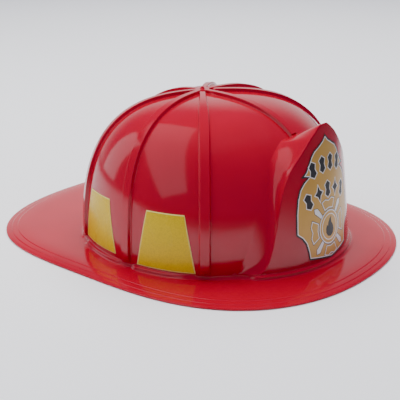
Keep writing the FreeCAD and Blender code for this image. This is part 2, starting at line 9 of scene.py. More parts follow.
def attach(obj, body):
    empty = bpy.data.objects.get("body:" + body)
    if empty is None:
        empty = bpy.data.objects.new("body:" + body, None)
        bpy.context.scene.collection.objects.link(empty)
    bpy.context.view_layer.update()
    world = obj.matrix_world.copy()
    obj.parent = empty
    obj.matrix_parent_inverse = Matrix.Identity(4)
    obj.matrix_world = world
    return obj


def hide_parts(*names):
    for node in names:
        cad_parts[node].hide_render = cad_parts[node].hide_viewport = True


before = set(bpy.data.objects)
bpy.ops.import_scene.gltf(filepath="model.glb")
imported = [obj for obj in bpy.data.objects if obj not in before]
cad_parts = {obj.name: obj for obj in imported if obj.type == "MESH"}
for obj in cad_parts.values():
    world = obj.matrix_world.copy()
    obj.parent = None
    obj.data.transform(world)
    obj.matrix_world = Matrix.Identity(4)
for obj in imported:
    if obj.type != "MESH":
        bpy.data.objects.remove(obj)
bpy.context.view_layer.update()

MM = 0.001

# Sizes in millimetres, in the helmet's frame: +X forward, +Y the wearer's left, +Z up,
# with the brim's underside at z 0.
WALL = 1.6
APEX_X, APEX_Z = 2.0, 136.0
FOOT_X, FOOT_LONG, FOOT_WIDE, FOOT_POWER = 15.7, 120.0, 121.5, 2.12
POWER_FRONT, POWER_SIDE, POWER_REAR = 2.93, 3.2, 2.32
BRIM_LONG, BRIM_WIDE, BRIM_SIDE_POWER = 187.5, 154.0, 2.23
BRIM_FRONT_POWER, BRIM_REAR_POWER = 3.0, 3.75
EDGE_TOP, BRIM_TOP, BRIM_CROWN, BRIM_STEP = 1.6, 4.0, 26.0, 0.3
STEP_LINES = (11.0, 5.4)
PLATE_X, PLATE_LEAN, PLATE_BOW = 149.5, math.radians(6.8), 112.0
FOOT_Z = 9.1
RIB_ANGLES = (0, 55, 90, 125, 180, 235, 270, 305)
RIB_RISE, RIB_TOP_HALF, RIB_FOOT_HALF, RIB_FOOT_Z = 3.0, 3.7, 5.1, 9.6
RIB_FADE, RIB_APEX_SHARE = 5.0, 0.62
HUB, HUB_RADIUS, TIP_RISE = 22.0, 8.0, 2.2
STICKER_GAP, STICKER_THICK = 0.05, 0.3
FULL_TURN = 2 * math.pi


def smoothstep(x, low, high):
    t = np.clip((np.asarray(x, float) - low) / (high - low), 0, 1)
    return t * t * (3 - 2 * t)


def unit(vectors):
    return vectors / np.linalg.norm(vectors, axis=-1, keepdims=True)


# ------ making mesh objects

def new_object(name, points, faces, materials, smooth=True, indices=None):
    """A mesh object from points in millimetres."""
    mesh = bpy.data.meshes.new(name)
    mesh.from_pydata([tuple(p) for p in np.asarray(points) * MM], [], faces)
    for material in materials:
        mesh.materials.append(material)
    if indices is not None:
        mesh.polygons.foreach_set("material_index", np.asarray(indices, np.int32))
    mesh.polygons.foreach_set("use_smooth", [smooth] * len(mesh.polygons))
    mesh.update()
    return in_scene(name, mesh)


def in_scene(name, data):
    made = bpy.data.objects.new(name, data)
    bpy.context.scene.collection.objects.link(made)
    return made


def repair_normals(made):
    mesh = bmesh.new()
    mesh.from_mesh(made.data)
    bmesh.ops.recalc_face_normals(mesh, faces=mesh.faces)
    mesh.to_mesh(made.data)
    mesh.free()


def grid_faces(rows, columns, closed=False, start=0):
    """Quads of a grid of points stored row by row."""
    count = columns if closed else columns - 1
    i, j = np.meshgrid(np.arange(rows - 1), np.arange(count), indexing="ij")
    k = (j + 1) % columns
    quads = np.stack([i * columns + j, i * columns + k, (i + 1) * columns + k, (i + 1) * columns + j], -1)
    return quads.reshape(-1, 4) + start


def sheet_faces(rows, columns):
    """Faces of a sheet made of two grids of points: its front, its back, and the walls round its edge."""
    index = np.arange(rows * columns).reshape(rows, columns)
    border = np.concatenate([index[0, :-1], index[:-1, -1], index[-1, :0:-1], index[:0:-1, 0]])
    before = np.roll(border, 1)
    front = grid_faces(rows, columns)
    walls = np.stack([before + index.size, border + index.size, border, before], 1)
    return np.concatenate([front, front[:, ::-1] + index.size, walls])


def tube_faces(rings, sides, start=0):
    """Faces of a tube made of rings of points, with both its ends capped."""
    last = start + (rings - 1) * sides
    caps = [list(range(start, start + sides))[::-1], list(range(last, last + sides))]
    return grid_faces(rings, sides, closed=True, start=start).tolist() + caps


def welded(points, quads):
    """Points within a thousandth of a millimetre made one; quads with a repeated corner made triangles."""
    _, first, index = np.unique(np.round(points, 3), axis=0, return_index=True, return_inverse=True)
    index = np.asarray(index).reshape(-1)
    faces = []
    for quad in index[quads]:
        ring = [int(v) for n, v in enumerate(quad) if v != quad[n - 1]]
        if len(set(ring)) > 2:
            faces.append(ring)
    return points[first], faces


def vertex_normals(points, faces):
    total = np.zeros_like(points)
    for size in (3, 4):
        ring = np.array([f for f in faces if len(f) == size], int).reshape(-1, size)
        if not len(ring):
            continue
        across = points[ring[:, 2]] - points[ring[:, 0]]
        other = points[ring[:, size - 1]] - points[ring[:, 1]]
        normal = np.cross(across, other)
        for corner in range(size):
            np.add.at(total, ring[:, corner], normal)
    return total / np.maximum(np.linalg.norm(total, axis=1, keepdims=True), 1e-9)


def relaxed(points, faces, keep, rounds):
    """Points drawn towards the mean of their neighbours, apart from those in keep."""
    pairs = np.array([(f[n - 1], f[n]) for f in faces for n in range(len(f))], int)
    pairs = np.vstack([pairs, pairs[:, ::-1]])
    count = np.bincount(pairs[:, 0], minlength=len(points))[:, None]
    moved = points.copy()
    for _ in range(rounds):
        total = np.zeros_like(moved)
        np.add.at(total, pairs[:, 0], moved[pairs[:, 1]])
        middle = total / np.maximum(count, 1)
        moved[~keep] = 0.5 * moved[~keep] + 0.5 * middle[~keep]
    return moved


# ------ the dome's formula

TURNS = np.linspace(-math.pi, math.pi, 7201)


def plan_radius(turn):
    along = np.abs(np.cos(turn)) / FOOT_LONG
    across = np.abs(np.sin(turn)) / FOOT_WIDE
    return (along ** FOOT_POWER + across ** FOOT_POWER) ** (-1 / FOOT_POWER)


def power_of(turn):
    forward = np.cos(turn)
    return POWER_SIDE + (np.where(forward > 0, POWER_FRONT, POWER_REAR) - POWER_SIDE) * forward ** 2


TABLE_X = FOOT_X - APEX_X + plan_radius(TURNS) * np.cos(TURNS)
TABLE_Y = plan_radius(TURNS) * np.sin(TURNS)
TABLE_HEADING = np.arctan2(TABLE_Y, TABLE_X)
TABLE_HEADING[0], TABLE_HEADING[-1] = -math.pi, math.pi
TABLE_FOOT = np.hypot(TABLE_X, TABLE_Y)


def wrapped(heading):
    return (np.asarray(heading) + math.pi) % FULL_TURN - math.pi


def polar(points):
    """Points' directions and distances from the apex's axis."""
    x, y = points[..., 0] - APEX_X, points[..., 1]
    return np.arctan2(y, x), np.hypot(x, y)


def foot_of(heading):
    """Distance from the apex's axis to the dome's foot in a direction from that axis."""
    return np.interp(wrapped(heading), TABLE_HEADING, TABLE_FOOT)


def fullness_of(heading):
    return np.interp(wrapped(heading), TABLE_HEADING, power_of(TURNS))


def tilt_at(z, heading):
    """The profile's angle where the dome is at height z."""
    power = fullness_of(heading)
    high = np.clip(z / APEX_Z, 0, 1)
    return np.arctan2((1 - high ** power) ** (1 / power), high)


def spread_height(tilt, heading):
    power = fullness_of(heading)
    size = (np.sin(tilt) ** power + np.abs(np.cos(tilt)) ** power) ** (-1 / power)
    return size * np.sin(tilt), APEX_Z * size * np.cos(tilt)


def wall_reach(z, heading):
    """Distance from the apex's axis to the dome at height z."""
    return foot_of(heading) * spread_height(tilt_at(z, heading), heading)[0]


def dome_at(turn, z):
    """The dome's point in a direction from the middle of its foot, at height z."""
    power = power_of(turn)
    spread = (1 - (z / APEX_Z) ** power) ** (1 / power)
    reach = plan_radius(turn) * spread
    return np.stack([APEX_X + (FOOT_X - APEX_X) * spread + reach * np.cos(turn), reach * np.sin(turn), z], -1)


RIB_HEADINGS = np.sort(np.interp(wrapped(np.radians(RIB_ANGLES)), TURNS, TABLE_HEADING) % FULL_TURN)


# ------ the front plate's lines

# The plate's edge, as (Y, Z) from its peak down.
PLATE_EDGE = np.array(((0, 127.6), (6, 127.5), (20, 117.5), (34.5, 103), (43, 93.5), (50, 79), (55, 61),
                       (58.5, 40), (62.5, 24), (66.5, 14), (71.5, FOOT_Z)), float)
# Where the ramp leaves the dome, as degrees from the middle line and height.
RAMP_EDGE = np.array(((0, 111), (3, 110.9), (10, 110.5), (14, 107.5), (17.5, 104), (22.5, 97), (27, 87.5),
                      (29.3, 76), (31.3, 61), (33.8, 40), (36.3, 20), (38.5, FOOT_Z)), float)
# How much of the bead there is, by degrees from the middle line.
BEAD_SHARE = np.array(((0, 1), (31, 1), (34, 0.1), (50, 0.1), (60, 0.5), (66, 1), (180, 1)), float)


def plate_x(y, z):
    """The plate's bowed face."""
    sag = PLATE_BOW - np.sqrt(PLATE_BOW ** 2 - y ** 2)
    return PLATE_X - math.tan(PLATE_LEAN) * z - sag / math.cos(PLATE_LEAN)


def plate_point(y, z, lift=0.0):
    y, z = np.asarray(y, float), np.asarray(z, float)
    normal = np.stack([np.ones_like(y), y / PLATE_BOW, np.full_like(y, math.tan(PLATE_LEAN))], -1)
    return np.stack([plate_x(y, z), y, z], -1) + lift * unit(normal)


def even_table(angles, values):
    """A table over degrees from the middle line, smoothed over sigma degrees."""
    step, sigma = 0.1, 0.7
    fine = np.arange(-60, 60.01, step)
    raw = np.interp(np.abs(fine), angles, values)
    width = int(4 * sigma / step)
    weights = np.exp(-0.5 * (np.arange(-width, width + 1) * step / sigma) ** 2)
    soft = np.convolve(np.pad(raw, width, mode="edge"), weights / weights.sum(), "valid")
    return fine, soft


EDGE_HEADINGS = np.degrees(np.arctan2(PLATE_EDGE[:, 0], plate_x(*PLATE_EDGE.T) - APEX_X))
PLATE_END, RAMP_END = EDGE_HEADINGS[-1], RAMP_EDGE[-1, 0]
PLATE_LIMIT = math.radians(PLATE_END)
EDGE_TABLE = even_table(EDGE_HEADINGS, PLATE_EDGE[:, 1])
RAMP_TABLE = even_table(RAMP_EDGE[:, 0], RAMP_EDGE[:, 1])


def plate_reach(heading, z):
    """Distance from the apex's axis to the plate's face in a direction, at height z."""
    heading = np.clip(heading, -PLATE_LIMIT, PLATE_LIMIT)
    reach = np.full_like(heading, 140.0)
    for _ in range(30):
        y = np.clip(reach * np.sin(heading), -100, 100)
        reach = 0.5 * reach + 0.5 * (plate_x(y, z) - APEX_X) / np.cos(heading)
    return reach


# ------ the shell's columns and rows

# Distances of the columns by a rib from its middle line; and how many more fill half a gap between ribs.
BY_RIB = (0, 1.2, 2.4, 3.2, 3.5, 3.7, 3.9, 4.1, 4.3, 4.5, 4.7, 4.9, 5.1, 5.3, 5.6, 6.2, 7.2, 8.6)
PLATE_FILL, FRONT_FILL, PLAIN_FILL = 84, 56, 11
DOME_ROWS, RAMP_ROWS, PLATE_ROWS, BRIM_ROWS = 150, 35, 45, 21


def column_rules():
    """For each column: its rib, side, distance from the rib's middle and share of the way to the next rib."""
    rules = []
    count = len(RIB_HEADINGS)
    for k, heading in enumerate(RIB_HEADINGS):
        gaps = {-1: (heading - RIB_HEADINGS[k - 1]) % FULL_TURN / 2,
                1: (RIB_HEADINGS[(k + 1) % count] - heading) % FULL_TURN / 2}
        for side in (-1, 1):
            front_gap = k == 0 or (k == 1 and side < 0) or (k == count - 1 and side > 0)
            fill = PLATE_FILL if k == 0 else FRONT_FILL if front_gap else PLAIN_FILL
            shares = np.arange(1, fill + 1) / fill
            if side < 0:
                shares = shares[:-1]
            block = [(heading, side, d, 0.0, gaps[side]) for d in (BY_RIB if side > 0 else BY_RIB[1:])]
            block += [(heading, side, BY_RIB[-1], share, gaps[side]) for share in shares]
            rules += block if side > 0 else block[::-1]
    return np.array(rules).T


RULES = column_rules()
COLUMNS = RULES.shape[1]


def rib_taper(reach):
    """The ribs' width as a share of their full width: they narrow towards the apex."""
    return RIB_APEX_SHARE + (1 - RIB_APEX_SHARE) * smoothstep(reach, 14, 80)


def column_heading(reach):
    """Each column's direction at a distance from the apex's axis: columns by a rib run alongside it."""
    heading, side, distance, share, gap = RULES
    far = np.maximum(reach, HUB)
    near = np.arcsin(np.clip(distance * rib_taper(reach) / far, 0, 1))
    return wrapped(heading + side * (near + share * (gap - near)))


def settle(reach_of):
    """The direction and distance of each column where the distance itself depends on the direction."""
    heading = column_heading(np.full(COLUMNS, 130.0))
    for _ in range(8):
        reach = reach_of(heading)
        heading = column_heading(reach)
    return heading, reach


def place_at(heading, reach, z):
    return np.stack([APEX_X + reach * np.cos(heading), reach * np.sin(heading), z], -1)


def rib_height(points):
    """How far the ribs stand above each point of the dome."""
    heading, reach = polar(points)
    rise = np.zeros(reach.shape)
    for rib in RIB_HEADINGS:
        offset = wrapped(heading - rib)
        behind = np.abs(offset) > math.pi / 2
        aside = np.where(behind, np.where(reach < RIB_TOP_HALF, 0, np.inf), np.abs(reach * np.sin(offset)))
        part = 1 - smoothstep(aside / rib_taper(reach), RIB_TOP_HALF, RIB_FOOT_HALF)
        front_diagonal = math.cos(rib) > 0.2 and abs(math.sin(rib)) > 0.2
        if front_diagonal:
            part = part * smoothstep(reach, HUB_RADIUS + 2.0, HUB_RADIUS + 3.4)
        rise = np.maximum(rise, part)
    rise = np.maximum(rise, 1 - smoothstep(reach, HUB_RADIUS - 1.5, HUB_RADIUS + 0.2))
    foot = np.clip((points[..., 2] - RIB_FOOT_Z) / RIB_FADE, 0, 1)
    tip = TIP_RISE * (1 - smoothstep(reach, 0.9, 2.6))
    return RIB_RISE * rise * np.sqrt(1 - (1 - foot) ** 2) + tip


def rib_distance(heading, reach):
    """Distance from the nearest rib's middle line."""
    offsets = np.abs(wrapped(heading[None] - RIB_HEADINGS[:, None]))
    return np.abs(reach * np.sin(np.minimum(offsets.min(0), math.pi / 2)))


def dome_rows():
    """Rows from the apex to the ramp's edge or the foot, with the ribs raised on them."""
    def end_height(heading):
        inside = np.abs(np.degrees(heading)) < RAMP_END
        return np.where(inside, np.interp(np.degrees(heading), *RAMP_TABLE), FOOT_Z)

    def end_reach(heading):
        return wall_reach(end_height(heading), heading)

    last_heading, last_reach = settle(end_reach)
    last_tilt = tilt_at(end_height(last_heading), last_heading)
    share = np.linspace(0, 1, DOME_ROWS)
    share = share - 0.4 * np.sin(FULL_TURN * share) / FULL_TURN
    rows = []
    for q in share:
        heading = last_heading
        for _ in range(6):
            spread, z = spread_height(q * last_tilt, heading)
            heading = column_heading(foot_of(heading) * spread)
        rows.append(place_at(heading, foot_of(heading) * spread, z))
    rows = np.array(rows)
    rows[-1] = place_at(last_heading, last_reach, end_height(last_heading))
    return rows


def row_normals(rows):
    along = np.gradient(rows, axis=0)
    across = np.roll(rows, -1, axis=1) - np.roll(rows, 1, axis=1)
    normal = np.cross(along, across)
    size = np.linalg.norm(normal, axis=-1, keepdims=True)
    normal = np.where(size > 1e-9, normal / np.maximum(size, 1e-12), (0, 0, 1.0))
    normal[0] = (0, 0, 1)
    return normal


def crease_line():
    """Where the ramp meets the plate's face; past the plate's corner, where it meets the foot line."""
    def height(heading):
        degrees = np.degrees(heading)
        return np.where(np.abs(degrees) < PLATE_END, np.interp(degrees, *EDGE_TABLE), FOOT_Z)

    def reach(heading):
        away = smoothstep(np.abs(np.degrees(heading)), PLATE_END - 1, RAMP_END)
        return plate_reach(heading, height(heading)) * (1 - away) + wall_reach(FOOT_Z, heading) * away

    heading, distance = settle(reach)
    return heading, distance, height(heading)


def ramp_rows(first, slope, crease):
    """The concave ramp from the dome up, or out, to the plate's crease."""
    heading0, reach0 = polar(first)
    heading1, reach1, z1 = crease
    length = np.hypot(reach1 - reach0, z1 - first[:, 2])
    back = np.clip(reach1 - wall_reach(z1, heading1), 0, 26)
    upper = smoothstep(z1, 55, 95)
    lean, undercut, sink = 0.33 - 0.29 * upper, 0.6 - 0.32 * upper, 0.10
    share = np.linspace(0, 1, RAMP_ROWS + 1)
    share = 1 - (0.5 * (1 - share) + 0.5 * (1 - share) ** 2)
    rows = []
    z0 = first[:, 2]
    for v in share[1:]:
        a, b, c, d = (1 - v) ** 3, 3 * v * (1 - v) ** 2, 3 * v * v * (1 - v), v ** 3
        reach = (a * reach0 + b * (reach0 + lean * length * slope[0]) + c * (reach1 - undercut * back)
                 + d * reach1)
        z = a * z0 + b * (z0 + lean * length * slope[1]) + c * (z1 - sink * back) + d * z1
        heading = wrapped(heading0 + v * wrapped(heading1 - heading0))
        rows.append(place_at(heading, reach, z))
    return np.array(rows)


def plate_rows(crease):
    """The plate's face, from its crease down to the foot line."""
    heading, reach, z = crease
    share = np.linspace(0, 1, PLATE_ROWS + 1)[1:]
    within = np.abs(heading) < PLATE_LIMIT - 0.02
    levels = [z + v * (FOOT_Z - z) for v in 0.35 * share + 0.65 * share ** 2]
    return np.array([place_at(heading, np.where(within, plate_reach(heading, level), reach), level)
                     for level in levels])


# The foot's profiles below the foot line, as distance out and height.
BEAD = ((0.02, 8.75), (0.1, 8.35), (0.4, 7.95), (1.0, 7.72), (1.7, 7.6), (2.25, 7.3), (2.5, 6.75),
        (2.56, 6.1), (2.64, 5.4), (2.9, 4.85), (3.45, 4.4), (4.4, 4.12), (5.6, BRIM_TOP))
PLAIN = ((0, 8.6), (0.03, 8.05), (0.07, 7.5), (0.14, 6.95), (0.25, 6.4), (0.42, 5.9), (0.7, 5.4),
         (1.1, 4.95), (1.6, 4.6), (2.3, 4.35), (3.2, 4.15), (4.4, 4.04), (5.6, BRIM_TOP))
CLEAR = 99.0


def foot_rows(heading, reach):
    """The foot: a bead between the ribs, a plain fillet by them."""
    share = np.interp(np.abs(np.degrees(heading)), BEAD_SHARE[:, 0], BEAD_SHARE[:, 1])
    aside = np.where(np.abs(np.degrees(heading)) < RAMP_END, CLEAR, rib_distance(heading, reach))
    share = share * smoothstep(aside, 6.0, 9.5)
    return np.array([place_at(heading, reach + out_a + share * (out_b - out_a), z_a + share * (z_b - z_a))
                     for (out_a, z_a), (out_b, z_b) in zip(PLAIN, BEAD)])


def brim_edge(heading):
    """Distance to the brim's edge, and the cosine between that way and the edge's normal."""
    low, high = np.zeros_like(heading), np.full_like(heading, 260.0)
    for _ in range(40):
        middle = (low + high) / 2
        x, y = APEX_X + middle * np.cos(heading), middle * np.sin(heading)
        power = np.where(x > 0, BRIM_FRONT_POWER, BRIM_REAR_POWER)
        inside = np.abs(x / BRIM_LONG) ** power + np.abs(y / BRIM_WIDE) ** BRIM_SIDE_POWER < 1
        low, high = np.where(inside, middle, low), np.where(inside, high, middle)
    gx = power * np.abs(x / BRIM_LONG) ** (power - 1) * np.sign(x) / BRIM_LONG
    gy = BRIM_SIDE_POWER * np.abs(y / BRIM_WIDE) ** (BRIM_SIDE_POWER - 1) * np.sign(y) / BRIM_WIDE
    facing = (gx * np.cos(heading) + gy * np.sin(heading)) / np.hypot(gx, gy)
    return middle, facing


# The rolled rim, as distance in from the brim's edge and height.
RIM = ((1.0, 1.6), (0.55, 1.58), (0.25, 1.45), (0.07, 1.22), (0, 0.92), (0, 0.68), (0.07, 0.38), (0.25, 0.15),
       (0.55, 0.02), (1.0, 0.0))
# Where the brim's top has lines of points: round each step, between them, and the innermost.
BY_STEP, BETWEEN_STEPS = (1, 0.6, 0.35, 0.15, -0.05, -0.3, -0.7), (9.4, 8.4, 7.3, 3.6, 2.4, 1.6)
INNER_BRIM = 13.5


def brim_top(distance):
    """The brim's height so far in from its edge: it droops towards the edge, with two shallow steps."""
    fall = sum(smoothstep(-distance, -line - 0.5, -line + 0.15) for line in STEP_LINES)
    inwards = 1 - np.minimum(distance, BRIM_CROWN) / BRIM_CROWN
    return BRIM_TOP - (BRIM_TOP - EDGE_TOP - 2 * BRIM_STEP) * inwards ** 2.5 - BRIM_STEP * fall


def brim_rows(heading, reach):
    """The brim's top, and its edge's distance and facing."""
    edge, facing = brim_edge(heading)
    start = reach + PLAIN[-1][0]
    inner = edge - INNER_BRIM / facing
    rows = []
    for v in np.linspace(0, 1, BRIM_ROWS + 1)[1:]:
        along = start + v * (inner - start)
        rows.append(place_at(heading, along, brim_top((edge - along) * facing)))
    steps = [line + offset for line in STEP_LINES for offset in BY_STEP]
    for distance in sorted([*steps, *BETWEEN_STEPS], reverse=True):
        rows.append(place_at(heading, edge - distance / facing, brim_top(np.full_like(heading, distance))))
    return np.array(rows), edge, facing


def softened(rows, middle, width, rounds):
    """Rounds the edge that runs along the row middle."""
    rows = rows.copy()
    span = slice(middle - width, middle + width + 1)
    for _ in range(rounds):
        part = 0.25 * rows[middle - width - 1:middle + width] + 0.5 * rows[span]
        rows[span] = part + 0.25 * rows[middle - width + 1:middle + width + 2]
    return rows


def shell_grid():
    """The outside from the apex to the brim's edge, and the rim below that."""
    dome = dome_rows()
    slope = np.stack([polar(dome[-1])[1] - polar(dome[-2])[1], (dome[-1] - dome[-2])[:, 2]])
    slope /= np.linalg.norm(slope, axis=0)
    crease = crease_line()
    ramp = ramp_rows(dome[-1], slope, crease)
    plate = plate_rows(crease)
    top = np.concatenate([dome, ramp])
    lift = rib_height(top)
    fade = np.ones(len(top))
    fade[len(dome):] = 1 - smoothstep(np.arange(len(ramp)), 0, 5)
    top = top + row_normals(top) * (lift * fade[:, None])[..., None]
    body = softened(np.concatenate([top, plate]), len(top) - 1, 4, 3)
    low = 1 - smoothstep(crease[2], 50, 88)[None, :, None]
    body = body + low * (softened(body, len(top) - 1, 14, 60) - body)
    for _ in range(3):
        rest = body[len(dome) + 2:-1]
        body[len(dome) + 2:-1] = 0.25 * np.roll(rest, 1, 1) + 0.5 * rest + 0.25 * np.roll(rest, -1, 1)
    heading, reach = polar(body[-1])
    foot = foot_rows(heading, reach)
    brim, edge, facing = brim_rows(heading, reach)
    rim = np.array([place_at(heading, edge - d / facing, np.full_like(heading, z)) for d, z in RIM])
    return np.concatenate([body, foot, brim, rim[:1]]), rim[1:-1]


def open_edge(faces):
    """The points along the faces' one open edge, in order."""
    sides = dict.fromkeys((f[n - 1], f[n]) for f in faces for n in range(len(f)))
    follow = {a: b for a, b in sides if (b, a) not in sides}
    ring = [next(iter(follow))]
    while follow[ring[-1]] != ring[0]:
        ring.append(follow[ring[-1]])
    return np.array(ring)


def build_shell(material):
    """The whole moulding: outside, rolled rim, and an inside one wall thickness in."""
    outer, rim = shell_grid()
    rows = len(outer)
    points, faces = welded(outer.reshape(-1, 3), grid_faces(rows, COLUMNS, closed=True))
    normals = vertex_normals(points, faces)
    if normals[np.argmax(points[:, 2])][2] < 0:
        faces = [f[::-1] for f in faces]
        normals = -normals
    keep = points[:, 2] < BRIM_TOP + 0.2
    inner = points - WALL * np.where(keep[:, None], (0, 0, 1.0), normals)
    inner = relaxed(inner, faces, keep, 6)
    ring = open_edge(faces)
    seats = [np.argmin(np.abs(rim[0, :, :2] - points[v, :2]).sum(1)) for v in ring]
    total = len(points)
    along = np.arange(len(ring))
    loops = [ring] + [total * 2 + n * len(ring) + along for n in range(len(rim))] + [ring + total]
    everything = np.concatenate([points, inner] + [rim[n, seats] for n in range(len(rim))])
    everything[:, 2] = np.maximum(everything[:, 2], 0)
    all_faces = list(faces) + [[v + total for v in f[::-1]] for f in faces]
    for a, b in zip(loops, loops[1:]):
        for n in range(len(ring)):
            all_faces.append([int(a[n - 1]), int(b[n - 1]), int(b[n]), int(a[n])])
    return new_object("helmet_shell_skin", everything, all_faces, [material])


# ------ materials

def node_material(name):
    made = bpy.data.materials.new(name)
    made.use_nodes = True
    tree = made.node_tree
    tree.nodes.clear()
    output = tree.nodes.new("ShaderNodeOutputMaterial")
    surface = tree.nodes.new("ShaderNodeBsdfPrincipled")
    tree.links.new(surface.outputs["BSDF"], output.inputs["Surface"])
    return made, tree, surface


def feed(tree, made, **inputs):
    """Sets a node's named inputs, or links them to other nodes' outputs."""
    for name, value in inputs.items():
        target = made.inputs[name.replace("_", " ")]
        if isinstance(value, bpy.types.NodeSocket):
            tree.links.new(value, target)
        else:
            target.default_value = value
    return made


def texture(tree, kind, scale, detail, stretch=None):
    """A procedural texture in the object's own coordinates; its Fac, or its Distance if it has cells."""
    source = tree.nodes.new("ShaderNodeTexCoord").outputs["Object"]
    if stretch:
        source = feed(tree, tree.nodes.new("ShaderNodeMapping"), Vector=source, Scale=stretch).outputs["Vector"]
    made = feed(tree, tree.nodes.new("ShaderNodeTex" + kind), Vector=source, Scale=scale, Detail=detail)
    return made.outputs["Distance" if kind == "Voronoi" else "Fac"]


def ramp_between(tree, source, low, high, start=0.3, end=0.7):
    """A colour ramp between two colours, driven by a texture."""
    made = feed(tree, tree.nodes.new("ShaderNodeValToRGB"), Fac=source)
    for element, position, colour in zip(made.color_ramp.elements, (start, end), (low, high)):
        element.position = position
        element.color = (*colour, 1)
    return made.outputs["Color"]


def between(tree, source, low, high):
    """A texture spread between two values."""
    made = feed(tree, tree.nodes.new("ShaderNodeMapRange"), Value=source, To_Min=low, To_Max=high)
    return made.outputs["Result"]


def bump(tree, surface, source, strength, distance, after=None):
    made = feed(tree, tree.nodes.new("ShaderNodeBump"), Strength=strength, Distance=distance, Height=source)
    if after:
        feed(tree, made, Normal=after)
    feed(tree, surface, Normal=made.outputs["Normal"])
    return made.outputs["Normal"]


def red_plastic():
    """Glossy moulded plastic: deep red with a faint flow, slow waves and fine dimples in its gloss."""
    made, tree, surface = node_material("glossy_red_plastic")
    flow = texture(tree, "Noise", 14, 2, (1, 1, 0.4))
    smear = texture(tree, "Noise", 60, 4)
    feed(tree, surface, Base_Color=ramp_between(tree, flow, (0.39, 0.0, 0.015), (0.45, 0.0, 0.018)),
         Roughness=between(tree, smear, 0.07, 0.16), IOR=1.43, Subsurface_Weight=0.06,
         Subsurface_Radius=(1.0, 0.05, 0.05), Subsurface_Scale=0.004, Coat_Weight=0.08, Coat_Roughness=0.04)
    first = bump(tree, surface, texture(tree, "Noise", 22, 2), 0.12, 0.0012)
    bump(tree, surface, texture(tree, "Noise", 900, 2), 0.05, 0.00005, first)
    return made


def sticker_film(name, low, high, rough, metal=0.0):
    """Printed film: a slightly uneven ink under a laminate with a fine orange-peel."""
    made, tree, surface = node_material(name)
    ink = texture(tree, "Noise", 45, 4)
    feed(tree, surface, Base_Color=ramp_between(tree, ink, low, high),
         Roughness=between(tree, ink, rough, rough + 0.1), Metallic=metal,
         Coat_Weight=0.15, Coat_Roughness=0.15)
    bump(tree, surface, texture(tree, "Noise", 420, 2), 0.12, 0.00008)
    return made


def reflective_yellow():
    """Reflective yellow film: tiny cells under a clear face."""
    made, tree, surface = node_material("reflective_yellow_film")
    cells = texture(tree, "Voronoi", 700, 0)
    smear = texture(tree, "Noise", 35, 3)
    feed(tree, surface, Base_Color=ramp_between(tree, cells, (0.72, 0.50, 0.0), (0.60, 0.40, 0.0), 0.2, 0.9),
         Roughness=between(tree, smear, 0.2, 0.34), Specular_IOR_Level=0.22)
    bump(tree, surface, cells, 0.15, 0.00006)
    return made


def grained_black(name, tint, rough, grain):
    """Black plastic with a fine moulded grain and faint scuffs."""
    made, tree, surface = node_material(name)
    scuff = texture(tree, "Noise", 70, 5)
    lighter = tuple(c * 1.7 for c in tint)
    feed(tree, surface, Base_Color=ramp_between(tree, scuff, tint, lighter, 0.35, 0.8),
         Roughness=between(tree, scuff, rough, rough + 0.15))
    bump(tree, surface, texture(tree, "Noise", grain, 2), 0.35, 0.00008)
    return made


def woven_web():
    """Black webbing: two crossing sets of threads that follow the strap."""
    made, tree, surface = node_material("black_webbing")
    along = tree.nodes.new("ShaderNodeTexCoord").outputs["UV"]
    waves = []
    for direction, scale in (("X", 620 / 6), ("Y", 380 / 6)):
        wave = feed(tree, tree.nodes.new("ShaderNodeTexWave"), Vector=along, Scale=scale, Distortion=0.4)
        wave.bands_direction = direction
        waves.append(wave.outputs["Fac"])
    feed(tree, surface, Roughness=0.8, Sheen_Weight=0.3,
         Base_Color=ramp_between(tree, waves[0], (0.012, 0.012, 0.014), (0.05, 0.05, 0.055), 0.2, 0.8))
    first = bump(tree, surface, waves[0], 0.7, 0.0003)
    bump(tree, surface, waves[1], 0.5, 0.0002, first)
    return made


def brushed_foam():
    """Charcoal brushed fabric over foam."""
    made, tree, surface = node_material("charcoal_brushed_fabric")
    mottle = texture(tree, "Noise", 160, 5)
    feed(tree, surface, Roughness=0.92, Sheen_Weight=0.5, Sheen_Roughness=0.4,
         Base_Color=ramp_between(tree, mottle, (0.03, 0.03, 0.034), (0.075, 0.075, 0.082)))
    bump(tree, surface, texture(tree, "Noise", 1500, 3), 0.6, 0.0002)
    return made


RED = red_plastic()
GOLD = sticker_film("gold_print", (0.54, 0.29, 0.045), (0.60, 0.34, 0.06), 0.3, 0.1)
WHITE = sticker_film("white_print", (0.78, 0.78, 0.76), (0.84, 0.84, 0.82), 0.28)
DARK = sticker_film("dark_print", (0.004, 0.003, 0.004), (0.008, 0.006, 0.007), 0.45)
YELLOW = reflective_yellow()
YELLOW_EDGE = sticker_film("pale_yellow_edge", (0.78, 0.66, 0.16), (0.84, 0.72, 0.2), 0.3)
BLACK_BAND = grained_black("black_band_plastic", (0.012, 0.012, 0.013), 0.42, 900)
BLACK_HANGER = grained_black("black_hanger_plastic", (0.016, 0.016, 0.018), 0.36, 1200)
BLACK_STUD = grained_black("black_stud_plastic", (0.014, 0.014, 0.016), 0.3, 600)
WEB = woven_web()
FOAM = brushed_foam()


# ------ the shell and its sockets

shell = build_shell(RED)
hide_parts("helmet_shell")
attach(shell, "shell")


HANGER_X = {"front": 44.0, "rear": -12.0}
SOCKET_HALF, SOCKET_NEAR, SOCKET_LOW, SOCKET_HIGH = 9.4, 104.6, 33.0, 48.0
SLOT_HALF, SLOT_NEAR, SLOT_FAR, SLOT_LOW, SLOT_HIGH = 7.8, 106.2, 108.8, 31.0, 46.4


